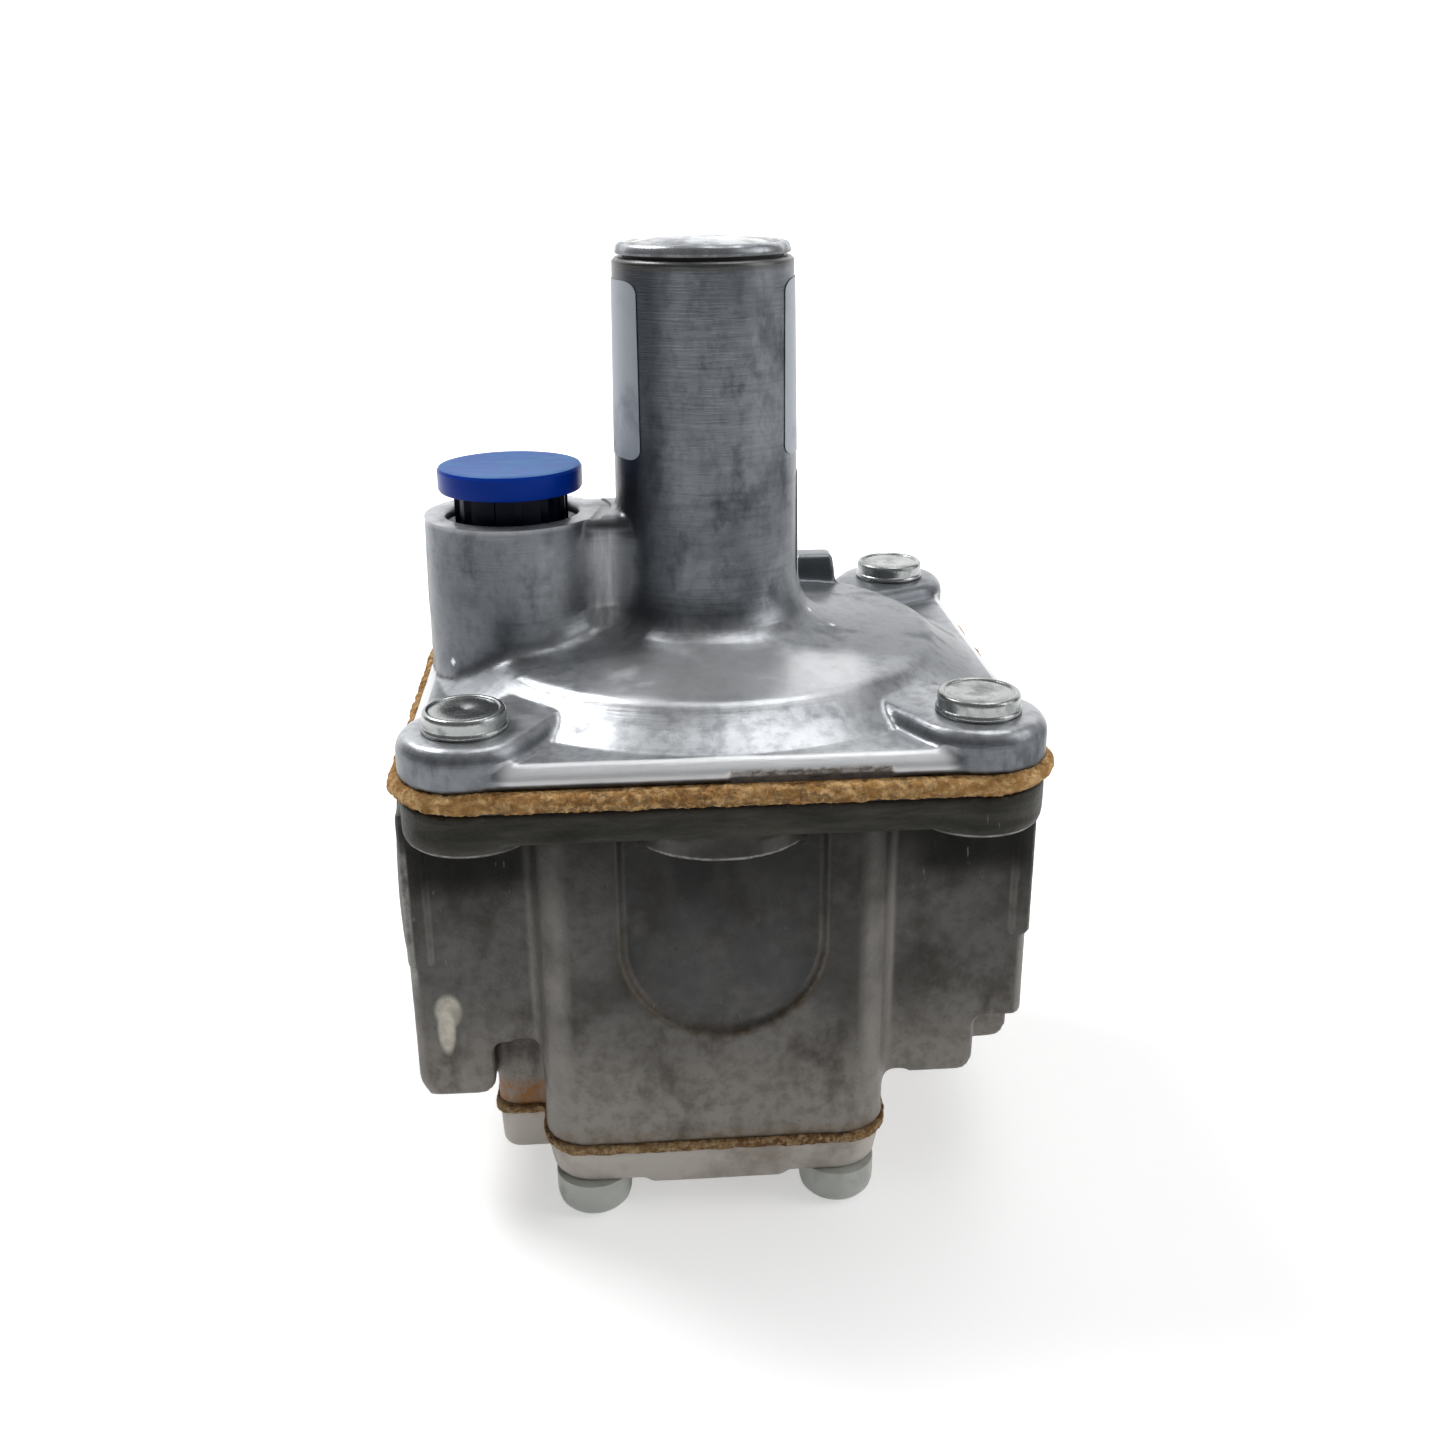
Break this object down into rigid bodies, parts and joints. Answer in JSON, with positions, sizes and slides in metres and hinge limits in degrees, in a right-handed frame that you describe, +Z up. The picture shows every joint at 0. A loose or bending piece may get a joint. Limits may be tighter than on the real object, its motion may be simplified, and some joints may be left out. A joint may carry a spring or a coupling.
{
  "type": "gas pressure regulator",
  "caption": "Spring-loaded gas appliance regulator: cast body with two threaded side ports, clamped diaphragm, spring tower with seal cap and plugged vent boss.",
  "frame": {"origin": "middle of the bounding box's base, on the plane of the four lower screw heads, below the tower's axis", "axes": "+Z up the spring tower, +X the direction of gas flow from inlet to outlet, +Y to the rear, with the vent boss over the inlet"},
  "size_m": [0.088, 0.0834, 0.1276],
  "materials": {
    "lower_cast": "matt sand-like die cast skin, handled and dusty",
    "upper_cast": "bright brushed and tumbled die casting",
    "cover_cast": "pale matt casting",
    "cap_aluminium": "turned and polished",
    "plate_aluminium": "pressed sheet",
    "gasket_fibre": "coarse compressed fibre",
    "gasket_thin": "thin compressed fibre",
    "zinc_steel": "bright zinc plate",
    "zinc_pale": "dull zinc plate",
    "steel": "turned bar",
    "spring_steel": "plated spring wire",
    "rubber_sheet": "fabric backed nitrile",
    "black_rubber": "moulded nitrile",
    "blue_plastic": "moulded polyethylene",
    "white_plastic": "moulded acetal"
  },
  "bodies": {
    "housing": {"body_casting": "lower_cast", "top_housing": "upper_cast", "main_gasket": "gasket_fibre", "diaphragm": "rubber_sheet", "bottom_gasket": "gasket_thin", "bottom_cover": "cover_cast", "stem_bush": "white_plastic", "top_screws": "zinc_steel", "bottom_screws": "zinc_pale", "main_spring": "spring_steel"},
    "valve_train": {"lower_plate": "plate_aluminium", "upper_plate": "plate_aluminium", "valve_stem": "steel", "stem_nut": "zinc_steel", "disc_holder": "plate_aluminium", "valve_disc": "black_rubber", "disc_washer": "zinc_steel", "disc_nut": "zinc_steel"},
    "spring_seat": {"spring_button": "plate_aluminium"},
    "adjuster": {"adjusting_screw": "white_plastic"},
    "cap_ring": {"cap_gasket": "black_rubber"},
    "cap": {"seal_cap": "cap_aluminium"},
    "shipping_plug": {"vent_plug": "blue_plastic"}
  },
  "joints": [
    {"name": "valve_lift", "type": "slide", "parent": "housing", "child": "valve_train", "axis": [0, 0, 1], "range_m": [0, 0.0044], "stiffness_N_per_m": 150, "springref_m": -0.025, "deforming": ["diaphragm", "main_spring"]},
    {"name": "button_rise", "type": "slide", "parent": "housing", "child": "spring_seat", "axis": [0, 0, 1], "range_m": [-0.0045, 0.0045], "deforming": ["main_spring"]},
    {"name": "adjuster_turn", "type": "hinge", "parent": "spring_seat", "child": "adjuster", "pos_m": [0, 0, 0.107], "axis": [0, 0, 1], "range_deg": [-1080, 1080]},
    {"name": "cap_rise", "type": "slide", "parent": "housing", "child": "cap_ring", "axis": [0, 0, 1], "range_m": [0, 0.0075]},
    {"name": "cap_turn", "type": "hinge", "parent": "cap_ring", "child": "cap", "pos_m": [0, 0, 0.1256], "axis": [0, 0, 1], "range_deg": [0, 1800]},
    {"name": "plug_pull", "type": "slide", "parent": "housing", "child": "shipping_plug", "axis": [0, 0, 1], "range_m": [0, 0.012]}
  ],
  "couplings": [
    {"joint": "button_rise", "follows": "adjuster_turn", "m_per_rad": 0.0002387},
    {"joint": "cap_rise", "follows": "cap_turn", "m_per_rad": 0.0002387}
  ]
}
